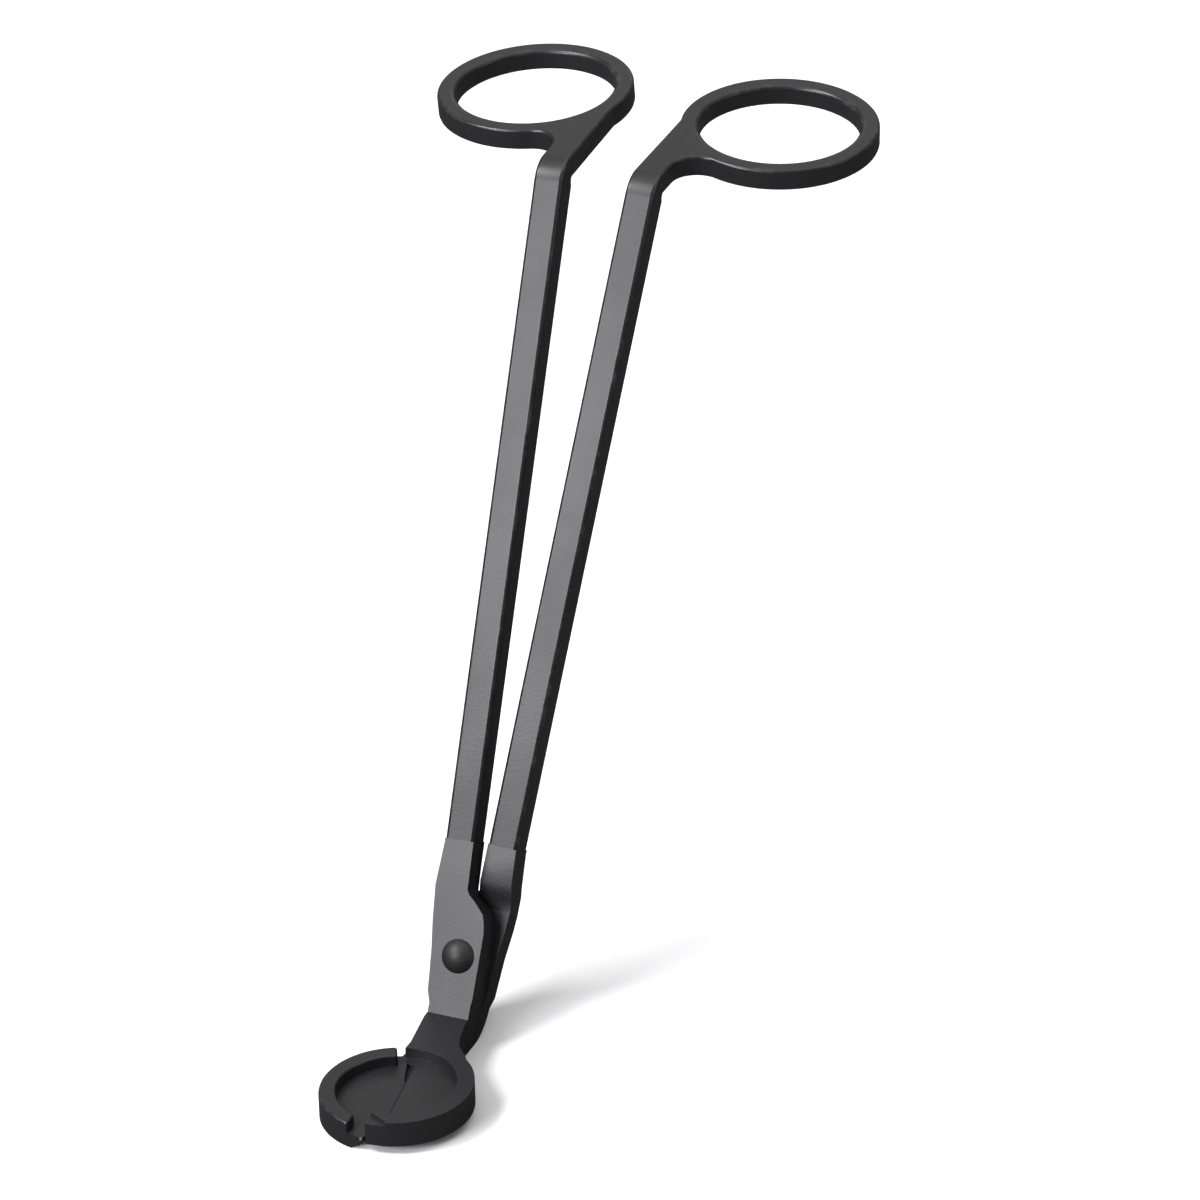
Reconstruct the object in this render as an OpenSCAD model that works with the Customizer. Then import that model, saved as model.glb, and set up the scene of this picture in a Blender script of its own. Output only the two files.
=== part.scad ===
// Wick trimmer: two crossed levers on one domed rivet, a round cutting
// tray split in two halves at the bottom and a finger loop on each handle.
// Millimetres. The lower half of the tray stands flat on z = 0 and the
// tray's centre is the origin. The open edge of the tray looks to -Y and
// the levers lean back to +Y.

/* [Tray] */
// Outer diameter of the round tray
tray_d = 24; // [20:0.5:30]
// Width of the raised rim
rim_w = 2.7; // [2:0.1:4]
// Height of the lower half, from the table to the top of its rim
half_h = 4.3; // [3.5:0.1:6]
// How much higher the upper half sits
raise = 1.55; // [1.4:0.05:2]
// Thickness of the floor of each half
floor_t = 2.5; // [2:0.1:3]

/* [Necks and pivot] */
// Distance of the bend line behind the tray centre
neck_y = 19.8; // [18:0.2:26]
// Width of both necks at the bend
neck_w = 7; // [6:0.1:9]
// Lean of the levers from upright, in degrees
lean = 28.4; // [24:0.2:45]
// Height of the pivot above the bend, along the lever
pivot_s = 9.6; // [8:0.1:11]
// Diameter of the rivet shank
shank_d = 3; // [2.5:0.1:4]
// Diameter of the domed rivet head
head_d = 5.6; // [4.6:0.1:6.4]

/* [Handles] */
// Width of the handle bars
bar_w = 4.9; // [4:0.1:6]
// Thickness of the handle bars
bar_t = 4.7; // [4:0.1:6]
// Length from the lower bend to the upper bend, along the lever
bar_len = 135.4; // [110:0.2:150]
// Angle of each closed bar to the centre line, in degrees
bar_splay = 2.25; // [1:0.05:4]

/* [Finger loops] */
// Outer diameter of the finger loops
loop_d = 32; // [30:0.2:38]
// Inner diameter of the finger loops
loop_hole_d = 25.9; // [23:0.1:31]
// Height of the loop ring
loop_h = 3.6; // [3:0.1:5]
// Distance of the loop centre behind the upper bend
loop_back = 25.4; // [24:0.2:32]
// Side offset of the loop centre from the bar
loop_side = 12.9; // [11:0.1:15]
// Upward tilt of the loop plane from the table, in degrees
loop_tilt = 3.8; // [0:0.1:10]

/* [Hidden] */
$fn = 96;
steel = [0.13, 0.13, 0.14];
steel_2 = [0.17, 0.17, 0.18];
rivet_tone = [0.22, 0.22, 0.23];
big = 200;
tray_r = tray_d / 2;
bowl_r = tray_r - rim_w;
tray_h = half_h + raise;
half = neck_w / 2;
play = 0.06;            // gap left between the two levers
upper_x = 0.4;          // the upper half stands this much to the right
rim_end = 0.35;         // front end of the upper rim, across
rear_t = 3.8;           // rear lever thickness at the pivot
rear_set = 3;           // rear bar face behind the front bar face
seam_s = 27.7;          // weld between jaw forging and handle
bar_x = 2;              // bar centre line at the lower bend
joggle_lo = 17.6;       // joggle of the rear lever, along the lever
joggle_hi = 21.3;
root_s = 40;            // jaw profiles run past the seam to here
open_max = 22;          // widest opening, degrees
relief = open_max * cos(lean) + 1;
neck_gap = floor_t;     // level where the two necks meet
lip_h = raise - 0.1;    // lower blade, passing under the upper one
head_h = 1.5;
washer_d = 5.8;
washer_t = 0.6;
tail_d = 4.4;
tail_h = 0.8;
bore_play = 0.05;
corner_r = 0.6;         // rounding of the bar edges
bend_r = 8;             // outer radius of the rear lever's bend
back_t = bar_t + play + rear_t;
bend_turn = 90 - lean - loop_tilt;

// ---- frames and helpers ----

// lever plane: X across, Y = depth behind the front face, Z = along the lever
module on_lever() {
  translate([0, neck_y, tray_h]) rotate([-lean, 0, 0]) children();
}
// the lever plane swung out to the right bar
module on_bar() {
  on_lever() translate([bar_x, 0, 0]) rotate([0, bar_splay, 0]) children();
}
// world y and z of a point given by depth and length in the lever plane
function ly(depth, s) = neck_y + depth * cos(lean) + s * sin(lean);
function lz(depth, s) = tray_h - depth * sin(lean) + s * cos(lean);
function lever_pt(depth, s) = [ly(depth, s), lz(depth, s)];
// where a plane at a lever depth meets a level height
function y_at(depth, z) = neck_y + (depth + (z - tray_h) * sin(lean)) / cos(lean);

// extrude a profile drawn in Y and Z across the whole part
module across() {
  translate([-big / 2, 0, 0]) rotate([90, 0, 90]) linear_extrude(big) children();
}
// extrude a profile drawn in X and Z from front to back under the necks
module under_necks() {
  translate([0, 34, 0]) rotate([90, 0, 0]) linear_extrude(28) children();
}
// extrude an outline drawn on the lever face from one depth to another
module lever_prism(d0, d1) {
  on_lever() translate([0, d1, 0]) rotate([90, 0, 0]) linear_extrude(d1 - d0)
    children();
}
module level(z0, z1) {
  translate([0, 0, z0]) linear_extrude(z1 - z0) children();
}

// ---- outlines shared by the two jaws ----

// side view of the front lever from tray to seam
module upper_side() {
  under = neck_gap + play / 2;
  polygon([[8, tray_h], lever_pt(0, 0), lever_pt(0, root_s),
           lever_pt(bar_t, root_s), [y_at(bar_t, under), under], [8, under]]);
}
// side view of the rear lever, with its joggle in front and behind
module lower_side() {
  lap = bar_t + play;
  top = neck_gap - play / 2;
  corner = y_at(back_t, 0);
  run = bend_r * tan((90 - lean) / 2);
  rear_face = rear_set + bar_t;
  difference() {
    polygon([[8, 0], [corner, 0], lever_pt(back_t, joggle_lo - 1),
             lever_pt(rear_face, joggle_hi), lever_pt(rear_face, root_s),
             lever_pt(rear_set, root_s), lever_pt(rear_set, joggle_hi + 0.4),
             lever_pt(lap, joggle_lo), [y_at(lap, top), top], [8, top]]);
    // large outer radius of the bend
    difference() {
      polygon([[corner - run, 0], [corner - run, -1], [corner + 9, -1],
               [corner + run * sin(lean) + 9, run * cos(lean)],
               [corner + run * sin(lean), run * cos(lean)]]);
      translate([corner - run, bend_r]) circle(bend_r);
    }
  }
}
// face outline of the front jaw between the bend and the seam
module boss_face() {
  w = bar_w / 2;
  lean_x = tan(bar_splay);
  polygon([[0.1 - half, 1.2], [half - 0.1, 1.2], [half + 0.15, 3.4], [half + 0.15, 13.7],
           [3.42, 15.3], [2.96, 16.8], [1.26, 18.55], [0.2, 19.4], [-0.3, 20.2],
           [-bar_x + w - lean_x * 25, 25], [-bar_x + w - lean_x * root_s, root_s],
           [-bar_x - w - lean_x * root_s, root_s], [-bar_x - w - lean_x * 27, 27],
           [-5.85, 20], [-5.3, 14.4], [-4.65, 9.7], [-4.1, 3.4]]);
}
// straight edge of the upper blade seen from above
function edge_x(y) = 0.7 - 0.15 * y;

// ---- front lever: upper blade and right half of the tray ----
module upper_jaw() {
  color(steel) difference() {
    union() {
      // boss and bar root
      intersection() {
        across() upper_side();
        lever_prism(-1, bar_t + 1) boss_face();
        on_lever() translate([-bar_x, 0, 0]) rotate([0, -bar_splay, 0])
          translate([-big / 2, -big / 2, seam_s - big]) cube(big);
      }
      // neck, flaring into the tray on the right
      intersection() {
        across() upper_side();
        level(0, tray_h + 2)
          polygon([[-2.35, 8.6], [-2.35, 11], [-half, 18.6], [-half, 40], [half, 40],
                   [half, 19], [4.3, 15.2], [5.2, 12.6], [7.6, 9.9], [5, 7]]);
      }
      // floor and rim
      level(raise, tray_h) intersection() {
        translate([upper_x, 0]) circle(tray_r);
        polygon([[rim_end, -big], [rim_end, -8.9], [edge_x(-8.9), -8.9],
                 [edge_x(8.2), 8.2], [-2.35, 8.6], [-2.35, big], [big, big],
                 [big, -big]]);
      }
    }
    // bowl
    translate([upper_x, 0, raise + floor_t]) cylinder(r = bowl_r, h = big);
    // room for the rear neck
    translate([-big, 10.3, -1]) cube([big + 4.1, 6, neck_gap + play / 2 + 1]);
    // sharpening bevel along the top of the blade edge
    translate([edge_x(0), 0, raise + floor_t - 0.45]) rotate([0, 0, atan(0.15)])
      rotate([0, -45, 0]) translate([-3, 1.3 - bowl_r, 0])
        cube([6, 2 * bowl_r - 3.4, 2]);
    // oblique relief on the front tip of the rim
    level(tray_h - 0.55, tray_h + 1)
      polygon([[-1, -9.6], [0.3, -9.6], [3.5, -11.2], [4, -14], [-1, -14]]);
    // the underside rises to the left so that the crossed necks can turn
    under_necks() polygon([[0, 1], [0, neck_gap + play / 2],
                           [-12, neck_gap + play / 2 + 12 * tan(relief)], [-12, 1]]);
    // rivet bore
    on_lever() translate([0, -1, pivot_s]) rotate([-90, 0, 0])
      cylinder(d = shank_d + 2 * bore_play, h = 12);
  }
}

// ---- rear lever: lower blade and floor of the left half ----
module lower_jaw() {
  top = floor_t - play / 2;
  color(steel_2) difference() {
    union() {
      // boss and bar root
      intersection() {
        across() lower_side();
        mirror([1, 0, 0]) lever_prism(0, back_t + 1) boss_face();
        on_bar() translate([-big / 2, -big / 2, seam_s - big]) cube(big);
      }
      // neck
      intersection() {
        across() lower_side();
        level(-1, tray_h + 2)
          polygon([[-4.2, 10], [-half, 18.6], [-half, 40], [half, 40],
                   [half, 11.1], [-2.9, 11.1], [-2.9, 9.5]]);
      }
      // floor of the left half
      level(0, top) intersection() {
        circle(tray_r);
        polygon([[-big, -big], [-0.1, -big], [-0.1, -8.7],
                 [edge_x(-8.7) - 0.12, -8.7], [edge_x(4.5) - 0.4, 4.5],
                 [-0.9, 5.1], [-3, 11], [-3, big], [-big, big]]);
      }
      // lower blade, reaching under the upper one
      level(0, lip_h) intersection() {
        circle(bowl_r + 1.6);
        polygon([[-6, -8.9], [3.2, -8.6], [3.5, 0], [3.5, 11.5], [-6, 11.5]]);
      }
    }
    // front end of the floor bevelled from below
    translate([-0.1, -9.2, floor_t - 0.25]) rotate([0, 45, 0])
      translate([0, -8, -5]) cube([5, 8, 5]);
    // room for the shoulder of the front lever
    lever_prism(-2, bar_t + play) translate([0.3, 0]) boss_face();
    // rivet bore
    on_lever() translate([0, 2, pivot_s]) rotate([-90, 0, 0])
      cylinder(d = shank_d, h = 12);
  }
}

// ---- raised half ring on the left floor ----
module lower_rim() {
  color(steel) level(floor_t - play / 2, half_h) difference() {
    circle(tray_r);
    circle(bowl_r);
    polygon([[-2.9, -big], [-2.9, 0], [0, 0], [-3.45, 8.3], [-4.9, 11.2],
             [-9, big], [big, big], [big, -big]]);
  }
}

// ---- handles ----
module bar_section() {
  w = bar_w / 2;
  translate([-w + corner_r, 0]) square([bar_w - 2 * corner_r, bar_t]);
  translate([-w, corner_r]) square([bar_w, bar_t - 2 * corner_r]);
  for (x = [-w + corner_r, w - corner_r])
    for (y = [corner_r, bar_t - corner_r])
      translate([x, y]) circle(corner_r);
}
// loop of the right handle: X outwards, Y back, top face on Z = 0
module loop_plate() {
  w = bar_w / 2;
  translate([0, 0, -loop_h]) linear_extrude(loop_h) difference() {
    union() {
      polygon([[w, -8], [w, 0], [6.5, 10.6], [10.8, 14.4], [loop_side, loop_back],
               [-w, loop_back - 2.4], [-w, -8]]);
      translate([loop_side, loop_back]) circle(d = loop_d);
    }
    translate([loop_side, loop_back]) circle(d = loop_hole_d);
  }
}
// everything on one side of the mitre between bar and loop plate
module mitre_half(above) {
  inner = bar_len - (loop_h - bar_t * cos(bend_turn)) / sin(bend_turn);
  slope = (inner - bar_len) / bar_t;
  far = above ? bar_len + 90 : 0;
  near = [[-20, bar_len - 20 * slope], [90, bar_len + 90 * slope]];
  rotate([90, 0, 90]) linear_extrude(big, center = true)
    polygon(above ? [near[1], [90, far], [-20, far], near[0]]
                  : [near[0], [-20, far], [90, far], near[1]]);
}
module handle(set_back) {
  on_bar() translate([0, set_back, 0]) {
    intersection() {
      translate([0, 0, seam_s]) linear_extrude(bar_len) bar_section();
      mitre_half(false);
    }
    intersection() {
      translate([0, 0, bar_len]) rotate([90 - bend_turn, 0, 0]) loop_plate();
      mitre_half(true);
    }
  }
}
module left_handle() {
  color(steel) mirror([1, 0, 0]) handle(0);
}
module right_handle() {
  color(steel_2) handle(rear_set);
}

// ---- pivot ----
module dome(d, h) {
  r = d / 2;
  ball = (r * r + h * h) / (2 * h);
  intersection() {
    translate([0, 0, h - ball]) sphere(ball);
    cylinder(d = d, h = h);
  }
}
module pivot_rivet() {
  color(rivet_tone) on_lever() translate([0, 0, pivot_s]) rotate([-90, 0, 0]) {
    mirror([0, 0, 1]) dome(head_d, head_h);
    cylinder(d = shank_d, h = back_t + washer_t);
    translate([0, 0, back_t + washer_t]) dome(tail_d, tail_h);
  }
}
module rivet_washer() {
  color(rivet_tone) on_lever() translate([0, back_t, pivot_s]) rotate([-90, 0, 0])
    difference() {
      cylinder(d = washer_d, h = washer_t);
      translate([0, 0, -1]) cylinder(d = shank_d, h = washer_t + 2);
    }
}

upper_jaw();
lower_jaw();
lower_rim();
left_handle();
right_handle();
pivot_rivet();
rivet_washer();
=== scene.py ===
import math
import bpy
import bmesh
from mathutils import Matrix, Vector


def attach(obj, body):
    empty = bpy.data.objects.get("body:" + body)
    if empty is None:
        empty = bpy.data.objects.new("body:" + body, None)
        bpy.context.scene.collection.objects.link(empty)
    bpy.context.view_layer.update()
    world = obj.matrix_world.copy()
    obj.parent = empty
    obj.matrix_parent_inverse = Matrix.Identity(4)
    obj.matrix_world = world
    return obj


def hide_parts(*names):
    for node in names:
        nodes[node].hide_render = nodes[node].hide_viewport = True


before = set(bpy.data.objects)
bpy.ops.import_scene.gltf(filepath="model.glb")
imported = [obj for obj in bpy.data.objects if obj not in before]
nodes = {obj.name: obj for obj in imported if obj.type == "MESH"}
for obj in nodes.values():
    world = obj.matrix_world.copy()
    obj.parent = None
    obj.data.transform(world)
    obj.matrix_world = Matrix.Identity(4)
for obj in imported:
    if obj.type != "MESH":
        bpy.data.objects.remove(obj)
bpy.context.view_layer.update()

MM = 0.001                         # shapes are drawn in millimetres
scene = bpy.context.scene

# ---------------------------------------------------------------- materials
# noise scales, per metre: 2600 is a grain of about 0.4 mm
GRAIN, SPECKS, WORN_AND_HIGHLIGHT_PATCHES, GLOSS_CLOUDS = 2600, 1500, 420, 60
BLACK, WHITE = (0, 0, 0), (1, 1, 1)
# lighter tone for rounded edges: partly wear, partly a painted highlight
WORN_AND_HIGHLIGHT_TONE = (0.030, 0.029, 0.028)
GRAIN_DEPTH = 0.00004              # metres
EDGE_POLISH = -0.10                # change of roughness on rounded edges


def tree_of(name):
    mat = bpy.data.materials.new(name)
    mat.use_nodes = True
    tree = mat.node_tree
    shader = tree.nodes["Principled BSDF"]
    return mat, tree, shader


def noise(tree, scale, detail, rough):
    coords = tree.nodes.new("ShaderNodeTexCoord")
    texture = tree.nodes.new("ShaderNodeTexNoise")
    texture.inputs["Scale"].default_value = scale
    texture.inputs["Detail"].default_value = detail
    texture.inputs["Roughness"].default_value = rough
    tree.links.new(coords.outputs["Object"], texture.inputs["Vector"])
    return texture.outputs["Fac"]


def ramp(tree, fac, low, high, dark, light):
    node = tree.nodes.new("ShaderNodeValToRGB")
    for stop, position, tone in zip(node.color_ramp.elements, (low, high), (dark, light)):
        stop.position = position
        stop.color = (*tone, 1)
    tree.links.new(fac, node.inputs["Fac"])
    return node.outputs["Color"]


def mix(tree, fac, a, b):
    node = tree.nodes.new("ShaderNodeMix")
    node.data_type = "RGBA"
    tree.links.new(fac, node.inputs["Factor"])
    for socket, value in ((node.inputs["A"], a), (node.inputs["B"], b)):
        if isinstance(value, tuple):
            socket.default_value = (*value, 1)
        else:
            tree.links.new(value, socket)
    return node.outputs["Result"]


def math_node(tree, operation, *values):
    """A math node, where each value is a number or another node's output."""
    node = tree.nodes.new("ShaderNodeMath")
    node.operation = operation
    for socket, value in zip(node.inputs, values):
        if isinstance(value, float):
            socket.default_value = value
        else:
            tree.links.new(value, socket)
    return node.outputs["Value"]


def spread(tree, fac, low, high):
    """A 0 to 1 value stretched to run from low to high."""
    node = tree.nodes.new("ShaderNodeMapRange")
    node.inputs["To Min"].default_value = low
    node.inputs["To Max"].default_value = high
    tree.links.new(fac, node.inputs["Value"])
    return node.outputs["Result"]


def shade(tone, factor):
    return tuple(c * factor for c in tone)


def black_coat(name, tone, roughness, bumpiness):
    """Satin black coat: fine orange peel, paler specks, cloudy gloss, and glossier rounded
    edges painted lighter in patches, partly as wear and partly as a painted highlight.
    """
    mat, tree, shader = tree_of(name)
    grain = noise(tree, GRAIN, 3, 0.6)
    base = ramp(tree, grain, 0.35, 0.7, shade(tone, 0.8), shade(tone, 1.25))
    specks = ramp(tree, noise(tree, SPECKS, 2, 0.5), 0.66, 0.72, BLACK, WHITE)
    colour = mix(tree, specks, base, shade(tone, 1.5))

    edge_mark = tree.nodes.new("ShaderNodeAttribute")
    edge_mark.attribute_name = "wear_and_highlight"
    edge = edge_mark.outputs["Fac"]
    # rounded edges painted lighter in patches: partly wear, partly a painted highlight on the
    # edges
    patches = ramp(tree, noise(tree, WORN_AND_HIGHLIGHT_PATCHES, 4, 0.6), 0.52, 0.68, BLACK, WHITE)
    colour = mix(tree, math_node(tree, "MULTIPLY", edge, patches), colour, WORN_AND_HIGHLIGHT_TONE)
    tree.links.new(colour, shader.inputs["Base Color"])

    gloss = spread(tree, noise(tree, GLOSS_CLOUDS, 4, 0.55), roughness - 0.05, roughness + 0.07)
    gloss = math_node(tree, "MULTIPLY_ADD", edge, EDGE_POLISH, gloss)
    tree.links.new(gloss, shader.inputs["Roughness"])

    bump = tree.nodes.new("ShaderNodeBump")
    bump.inputs["Strength"].default_value = bumpiness
    bump.inputs["Distance"].default_value = GRAIN_DEPTH
    tree.links.new(grain, bump.inputs["Height"])
    tree.links.new(bump.outputs["Normal"], shader.inputs["Normal"])
    shader.inputs["Specular IOR Level"].default_value = 0.5
    return mat


COAT = black_coat("satin_black_coat", (0.010, 0.010, 0.0112), 0.40, 0.5)
RIVET = black_coat("rivet_black_coat", (0.007, 0.007, 0.0075), 0.5, 0.3)


def paint(obj, mat):
    obj.data.materials.clear()
    obj.data.materials.append(mat)


# ---------------------------------------------------------------- sizes, as in the CAD
LEAN = math.radians(28.4)          # levers lean back
SPLAY = math.radians(2.25)         # closed bar to the centre line
LOOP_TILT = math.radians(3.8)      # loop plane to the table
TURN = math.radians(90) - LEAN - LOOP_TILT   # bend between bar and loop plane
NECK_Y = 19.8                      # lower bend behind the tray's centre
TRAY_H = 5.85                      # top of the upper rim
RIM_FOOT = 2.47                    # where the left rim sits on its floor
BAR_X = 2.0                        # bar's centre line at the lower bend
BAR_LEN = 135.4                    # lower bend to upper bend
BAR_HALF, BAR_T = 2.45, 4.7        # half the width, and the thickness
SEAM_S = 27.7                      # weld between jaw and handle
REAR_SET = 3.0                     # rear bar behind the front bar
LOOP_R, HOLE_R, LOOP_H = 16.0, 12.95, 3.6
LOOP = Vector((12.9, BAR_LEN + 25.4))   # loop's centre on the unfolded strip
LEVER = Matrix.Translation((0, NECK_Y, TRAY_H)) @ Matrix.Rotation(-LEAN, 4, "X")
RIGHT_BAR = LEVER @ Matrix.Translation((BAR_X, 0, 0)) @ Matrix.Rotation(SPLAY, 4, "Y")
UNLEVER = LEVER.inverted()

# roundings that the CAD leaves out
FILLET = 4.2                       # concave fillet between bar and loop
BEND_R = 5.2                       # outer radius of the upper bend
BEND_STEPS = 12
OUTER_EDGE, HOLE_EDGE = 0.6, 0.9   # handles
JAW_EDGE, RIVET_EDGE, WASHER_EDGE = 0.4, 0.12, 0.1
SHARP, RIVET_SHARP = 0.45, 0.6     # edges that turn more than this are rounded, radians
CREASE = 0.35                      # the joggle's edges turn more than this
JOGGLE_FROM = 15                   # the joggle lies above this, along the lever


def edge_x(y):
    """Straight edge of the upper blade seen from above."""
    return 0.7 - 0.15 * y


# ---------------------------------------------------------------- shared by all pieces
def round_edges(bm, edges, width, segments, miter="SHARP"):
    """Rounds edges and marks the new faces, where the coat is glossier and painted lighter,
    partly as wear and partly as a painted highlight.
    """
    wear_and_highlight = bm.faces.layers.float["wear_and_highlight"]
    made = bmesh.ops.bevel(bm, geom=edges, offset=width, segments=segments, profile=0.5,
                           affect="EDGES", clamp_overlap=True, miter_outer=miter)
    for face in made["faces"]:
        face[wear_and_highlight] = 1.0


def finish_piece(bm, name, body, node, mat):
    bmesh.ops.scale(bm, vec=(MM, MM, MM), verts=bm.verts[:])
    mesh = bpy.data.meshes.new(name)
    bm.to_mesh(mesh)
    bm.free()
    obj = bpy.data.objects.new(name, mesh)
    scene.collection.objects.link(obj)
    for face in mesh.polygons:
        face.use_smooth = True
    normals = obj.modifiers.new("normals", "WEIGHTED_NORMAL")
    normals.keep_sharp = True
    paint(obj, mat)
    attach(obj, body)
    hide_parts(node)


# ---------------------------------------------------------------- handles
def arc(centre, radius, start, end, steps):
    """Points on an arc, both ends included, angles in degrees."""
    points = []
    for i in range(steps + 1):
        a = math.radians(start + (end - start) * i / steps)
        points.append((centre[0] + radius * math.cos(a), centre[1] + radius * math.sin(a)))
    return points


def strip_outline():
    """Unfolded outline of the right handle: x outwards, y along the bar, then back."""
    fillet_x = BAR_HALF + FILLET
    fillet_y = LOOP.y - math.sqrt((LOOP_R + FILLET) ** 2 - (LOOP.x - fillet_x) ** 2)
    toward_loop = math.degrees(math.atan2(LOOP.y - fillet_y, LOOP.x - fillet_x))
    inner_y = LOOP.y - math.sqrt(LOOP_R ** 2 - (LOOP.x + BAR_HALF) ** 2)
    inner_end = math.degrees(math.atan2(inner_y - LOOP.y, -BAR_HALF - LOOP.x)) % 360
    points = [(BAR_HALF, SEAM_S)]
    points += arc((fillet_x, fillet_y), FILLET, 180, toward_loop, 14)
    points += arc(LOOP, LOOP_R, toward_loop - 180, inner_end, 110)[1:]
    points += [(-BAR_HALF, inner_y - 4), (-BAR_HALF, SEAM_S)]
    return points


def loop_hole():
    return arc(LOOP, HOLE_R, 0, 357, 119)


def face_rims(bm, of_hole):
    """Edges around a slab's two faces: those of its hole, or all others above the seam."""
    rims = []
    for edge in bm.edges:
        if len(edge.link_faces) != 2 or edge.calc_face_angle() < 1.0:
            continue
        a, b = (v.co for v in edge.verts)
        across = abs(a.y - b.y) > 1e-4
        on_seam = max(a.z, b.z) < SEAM_S + 0.1
        if across or on_seam:
            continue
        mid = (a + b) / 2
        in_hole = math.dist((mid.x, mid.z), LOOP) < HOLE_R + 0.2
        if in_hole == of_hole:
            rims.append(edge)
    return rims


def slab(outline, hole, depth):
    """A flat plate with rounded edges: outline in X and Z, depth along Y."""
    bm = bmesh.new()
    bm.faces.layers.float.new("wear_and_highlight")
    for loop in (outline, hole):
        ring = [bm.verts.new((x, 0, y)) for x, y in loop]
        for a, b in zip(ring, ring[1:] + ring[:1]):
            bm.edges.new((a, b))
    bmesh.ops.triangle_fill(bm, use_beauty=True, use_dissolve=False, edges=bm.edges[:])
    bmesh.ops.dissolve_limit(bm, angle_limit=0.01, verts=[], edges=bm.edges[:])
    made = bmesh.ops.extrude_face_region(bm, geom=bm.faces[:])
    moved = [g for g in made["geom"] if isinstance(g, bmesh.types.BMVert)]
    bmesh.ops.translate(bm, verts=moved, vec=(0, depth, 0))
    bmesh.ops.recalc_face_normals(bm, faces=bm.faces[:])
    round_edges(bm, face_rims(bm, True), HOLE_EDGE, 4)
    round_edges(bm, face_rims(bm, False), OUTER_EDGE, 3)
    return bm


def fold(bm):
    """Bends the unfolded handle back at the top of its bar, thinning it to the loop."""
    reach = BEND_R * math.tan(TURN / 2)
    for i in range(BEND_STEPS + 1):
        level = BAR_LEN - reach + 2 * reach * i / BEND_STEPS
        bmesh.ops.bisect_plane(bm, geom=bm.verts[:] + bm.edges[:] + bm.faces[:],
                               plane_co=(0, 0, level), plane_no=(0, 0, 1))
    for v in bm.verts:
        depth, past = v.co.y, v.co.z - BAR_LEN
        k = min(1, max(0, (past + reach) / (2 * reach)))
        thin = depth * (1 + (LOOP_H / BAR_T - 1) * k * k * (3 - 2 * k))
        if past <= -reach:
            v.co.y, v.co.z = thin, BAR_LEN + past
        elif past >= reach:
            v.co.y = math.sin(TURN) * past + math.cos(TURN) * thin
            v.co.z = BAR_LEN + math.cos(TURN) * past - math.sin(TURN) * thin
        else:
            v.co.y = BEND_R - (BEND_R - thin) * math.cos(k * TURN)
            v.co.z = BAR_LEN - reach + (BEND_R - thin) * math.sin(k * TURN)


def handle(name, body, node, set_back, left):
    bm = slab(strip_outline(), loop_hole(), BAR_T)
    fold(bm)
    bmesh.ops.translate(bm, verts=bm.verts[:], vec=(0, set_back, 0))
    bmesh.ops.transform(bm, matrix=RIGHT_BAR, verts=bm.verts[:])
    if left:
        bmesh.ops.scale(bm, vec=(-1, 1, 1), verts=bm.verts[:])
        bmesh.ops.reverse_faces(bm, faces=bm.faces[:])
    finish_piece(bm, name, body, node, COAT)


handle("handle_left", "front_lever", "left_handle", 0, True)
handle("handle_right", "rear_lever", "right_handle", REAR_SET, False)


# ---------------------------------------------------------------- jaws and rivet
def middle(edge):
    return (edge.verts[0].co + edge.verts[1].co) / 2


def along_lever(p):
    """Height above the lower bend, measured up the lever."""
    return (UNLEVER @ p).z


def is_crease(edge):
    """The shallow joggle high on the rear lever: a crisp line, too flat to round."""
    return (along_lever(middle(edge)) > JOGGLE_FROM and len(edge.link_faces) == 2
            and edge.calc_face_angle() > CREASE)


def soft_copy(node, name, body, width, mat, keep=None, segments=3, angle=SHARP):
    """The CAD solid with its edges rounded, apart from those that keep() leaves sharp."""
    bm = bmesh.new()
    bm.from_mesh(nodes[node].data)
    bm.faces.layers.float.new("wear_and_highlight")
    bmesh.ops.scale(bm, vec=(1 / MM, 1 / MM, 1 / MM), verts=bm.verts[:])
    bmesh.ops.remove_doubles(bm, verts=bm.verts[:], dist=0.002)
    bmesh.ops.dissolve_limit(bm, angle_limit=0.006, verts=bm.verts[:], edges=bm.edges[:])
    sharp = [e for e in bm.edges if len(e.link_faces) == 2 and e.calc_face_angle() > angle]
    for e in bm.edges:
        if e not in sharp and is_crease(e):
            e.smooth = False
    if keep:
        for e in sharp:
            e.smooth = not keep(middle(e))
        sharp = [e for e in sharp if e.smooth]
    round_edges(bm, sharp, width, segments, "ARC")
    finish_piece(bm, name, body, node, mat)


def at_seam(p):
    return along_lever(p) > SEAM_S - 0.4


def on_rim_foot(p):
    return abs(p.z - RIM_FOOT) < 0.05


def at_rim_joint(p):
    """The line where the left half's rim sits on its floor, on the outside."""
    return on_rim_foot(p) and math.hypot(p.x, p.y) > 11.5


def at_blade_edge(p):
    """The ground edge of the upper blade, inside the bowl."""
    return abs(p.x - edge_x(p.y)) < 0.9 and p.z < 4.2 and -8.2 < p.y < 8.0


soft_copy("upper_jaw", "jaw_upper", "front_lever", JAW_EDGE, COAT,
          lambda p: at_seam(p) or at_blade_edge(p))
soft_copy("lower_jaw", "jaw_lower", "rear_lever", JAW_EDGE, COAT,
          lambda p: at_seam(p) or at_rim_joint(p))
soft_copy("lower_rim", "rim_left", "rear_lever", JAW_EDGE, COAT, on_rim_foot)
soft_copy("pivot_rivet", "rivet", "rear_lever", RIVET_EDGE, RIVET,
          segments=2, angle=RIVET_SHARP)
soft_copy("rivet_washer", "washer", "rear_lever", WASHER_EDGE, RIVET,
          segments=2, angle=RIVET_SHARP)


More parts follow.
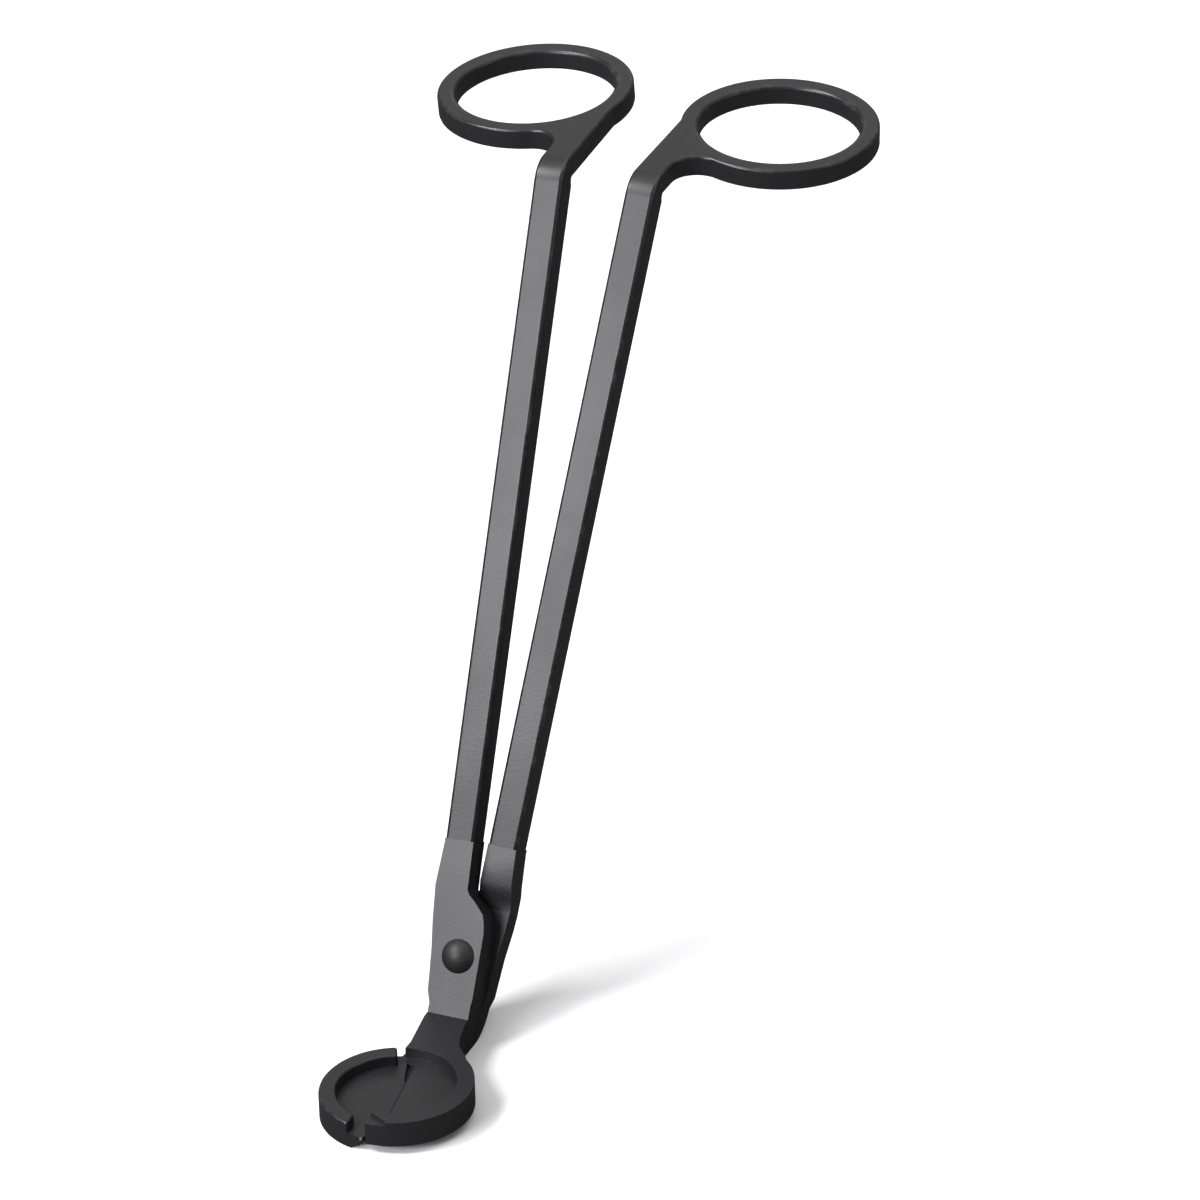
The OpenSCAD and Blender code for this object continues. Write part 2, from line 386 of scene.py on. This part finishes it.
# ---------------------------------------------------------------- floor
def pale_floor():
    """A nearly white floor that glossy coats see as dark, so they keep their black."""
    bm = bmesh.new()
    bmesh.ops.create_grid(bm, x_segments=1, y_segments=1, size=6)
    mesh = bpy.data.meshes.new("floor")
    bm.to_mesh(mesh)
    bm.free()
    floor = bpy.data.objects.new("floor", mesh)
    scene.collection.objects.link(floor)
    mat, tree, shader = tree_of("pale_floor")
    rays = tree.nodes.new("ShaderNodeLightPath")
    tone = mix(tree, rays.outputs["Is Glossy Ray"], (0.92, 0.92, 0.92), (0.06, 0.06, 0.06))
    tree.links.new(tone, shader.inputs["Base Color"])
    shader.inputs["Roughness"].default_value = 0.9
    shader.inputs["Specular IOR Level"].default_value = 0.0
    paint(floor, mat)


pale_floor()

# ---------------------------------------------------------------- camera
AZIMUTH, ELEVATION, ROLL = (math.radians(a) for a in (23.61, 28.25, -1.25))
LOOK_AT = Vector((0, 40.5, 45.0))
DISTANCE, SHIFT_RIGHT, SHIFT_UP = 902.9, 17.19, 21.69
FOCAL_LENGTH = 171.86


def place_camera():
    back = Vector((math.sin(AZIMUTH) * math.cos(ELEVATION),
                   -math.cos(AZIMUTH) * math.cos(ELEVATION), math.sin(ELEVATION)))
    right = (-back).cross(Vector((0, 0, 1))).normalized()
    up = right.cross(-back)
    place = (LOOK_AT + back * DISTANCE + right * SHIFT_RIGHT + up * SHIFT_UP) * MM
    x_axis = right * math.cos(ROLL) + up * math.sin(ROLL)
    y_axis = up * math.cos(ROLL) - right * math.sin(ROLL)
    data = bpy.data.cameras.new("camera")
    data.lens = FOCAL_LENGTH
    data.sensor_width = 36
    data.clip_end = 50
    camera = bpy.data.objects.new("camera", data)
    scene.collection.objects.link(camera)
    turned = Matrix((x_axis, y_axis, back)).transposed().to_4x4()
    camera.matrix_world = Matrix.Translation(place) @ turned
    scene.camera = camera


place_camera()


# ---------------------------------------------------------------- light
OBJECT_MIDDLE = Vector((0, 0.05, 0.06))
COOL = (0.955, 0.945, 1.0)


def lamp(name, kind, strength, beam):
    """A light whose rays leave it along the direction of beam."""
    light = bpy.data.lights.new(name, kind)
    light.energy = strength
    obj = bpy.data.objects.new(name, light)
    scene.collection.objects.link(obj)
    obj.rotation_mode = "QUATERNION"
    obj.rotation_quaternion = beam.to_track_quat("-Z", "Y")
    return obj


def sun(name, toward, strength, width):
    obj = lamp(name, "SUN", strength, -Vector(toward))
    obj.data.angle = math.radians(width)


def area(name, place, size, power, tone=WHITE):
    obj = lamp(name, "AREA", power, OBJECT_MIDDLE - Vector(place))
    obj.location = place
    obj.data.shape = "RECTANGLE"
    obj.data.size, obj.data.size_y = size
    obj.data.color = tone


sun("key", (-0.68, -0.5, 1), 2.6, 20)
sun("top", (0.1, 0.2, 1.7), 1.2, 75)
area("front", (-0.42, -0.95, 0.55), (0.45, 0.35), 10.5, COOL)
area("side", (1.3, 0.1, 0.5), (0.5, 0.5), 1.5)
area("behind", (-0.5, 1.4, 0.8), (0.8, 0.5), 0.7)


def studio_world():
    """White behind the object, and much dimmer as a light on it."""
    world = bpy.data.worlds.new("studio")
    scene.world = world
    world.use_nodes = True
    sky = world.node_tree
    rays = sky.nodes.new("ShaderNodeLightPath")
    glow = spread(sky, rays.outputs["Is Camera Ray"], 0.25, 1.0)
    sky.links.new(glow, sky.nodes["Background"].inputs["Strength"])
    sky.nodes["Background"].inputs["Color"].default_value = (*WHITE, 1)


studio_world()
scene.view_settings.view_transform = "Standard"

bpy.context.view_layer.update()
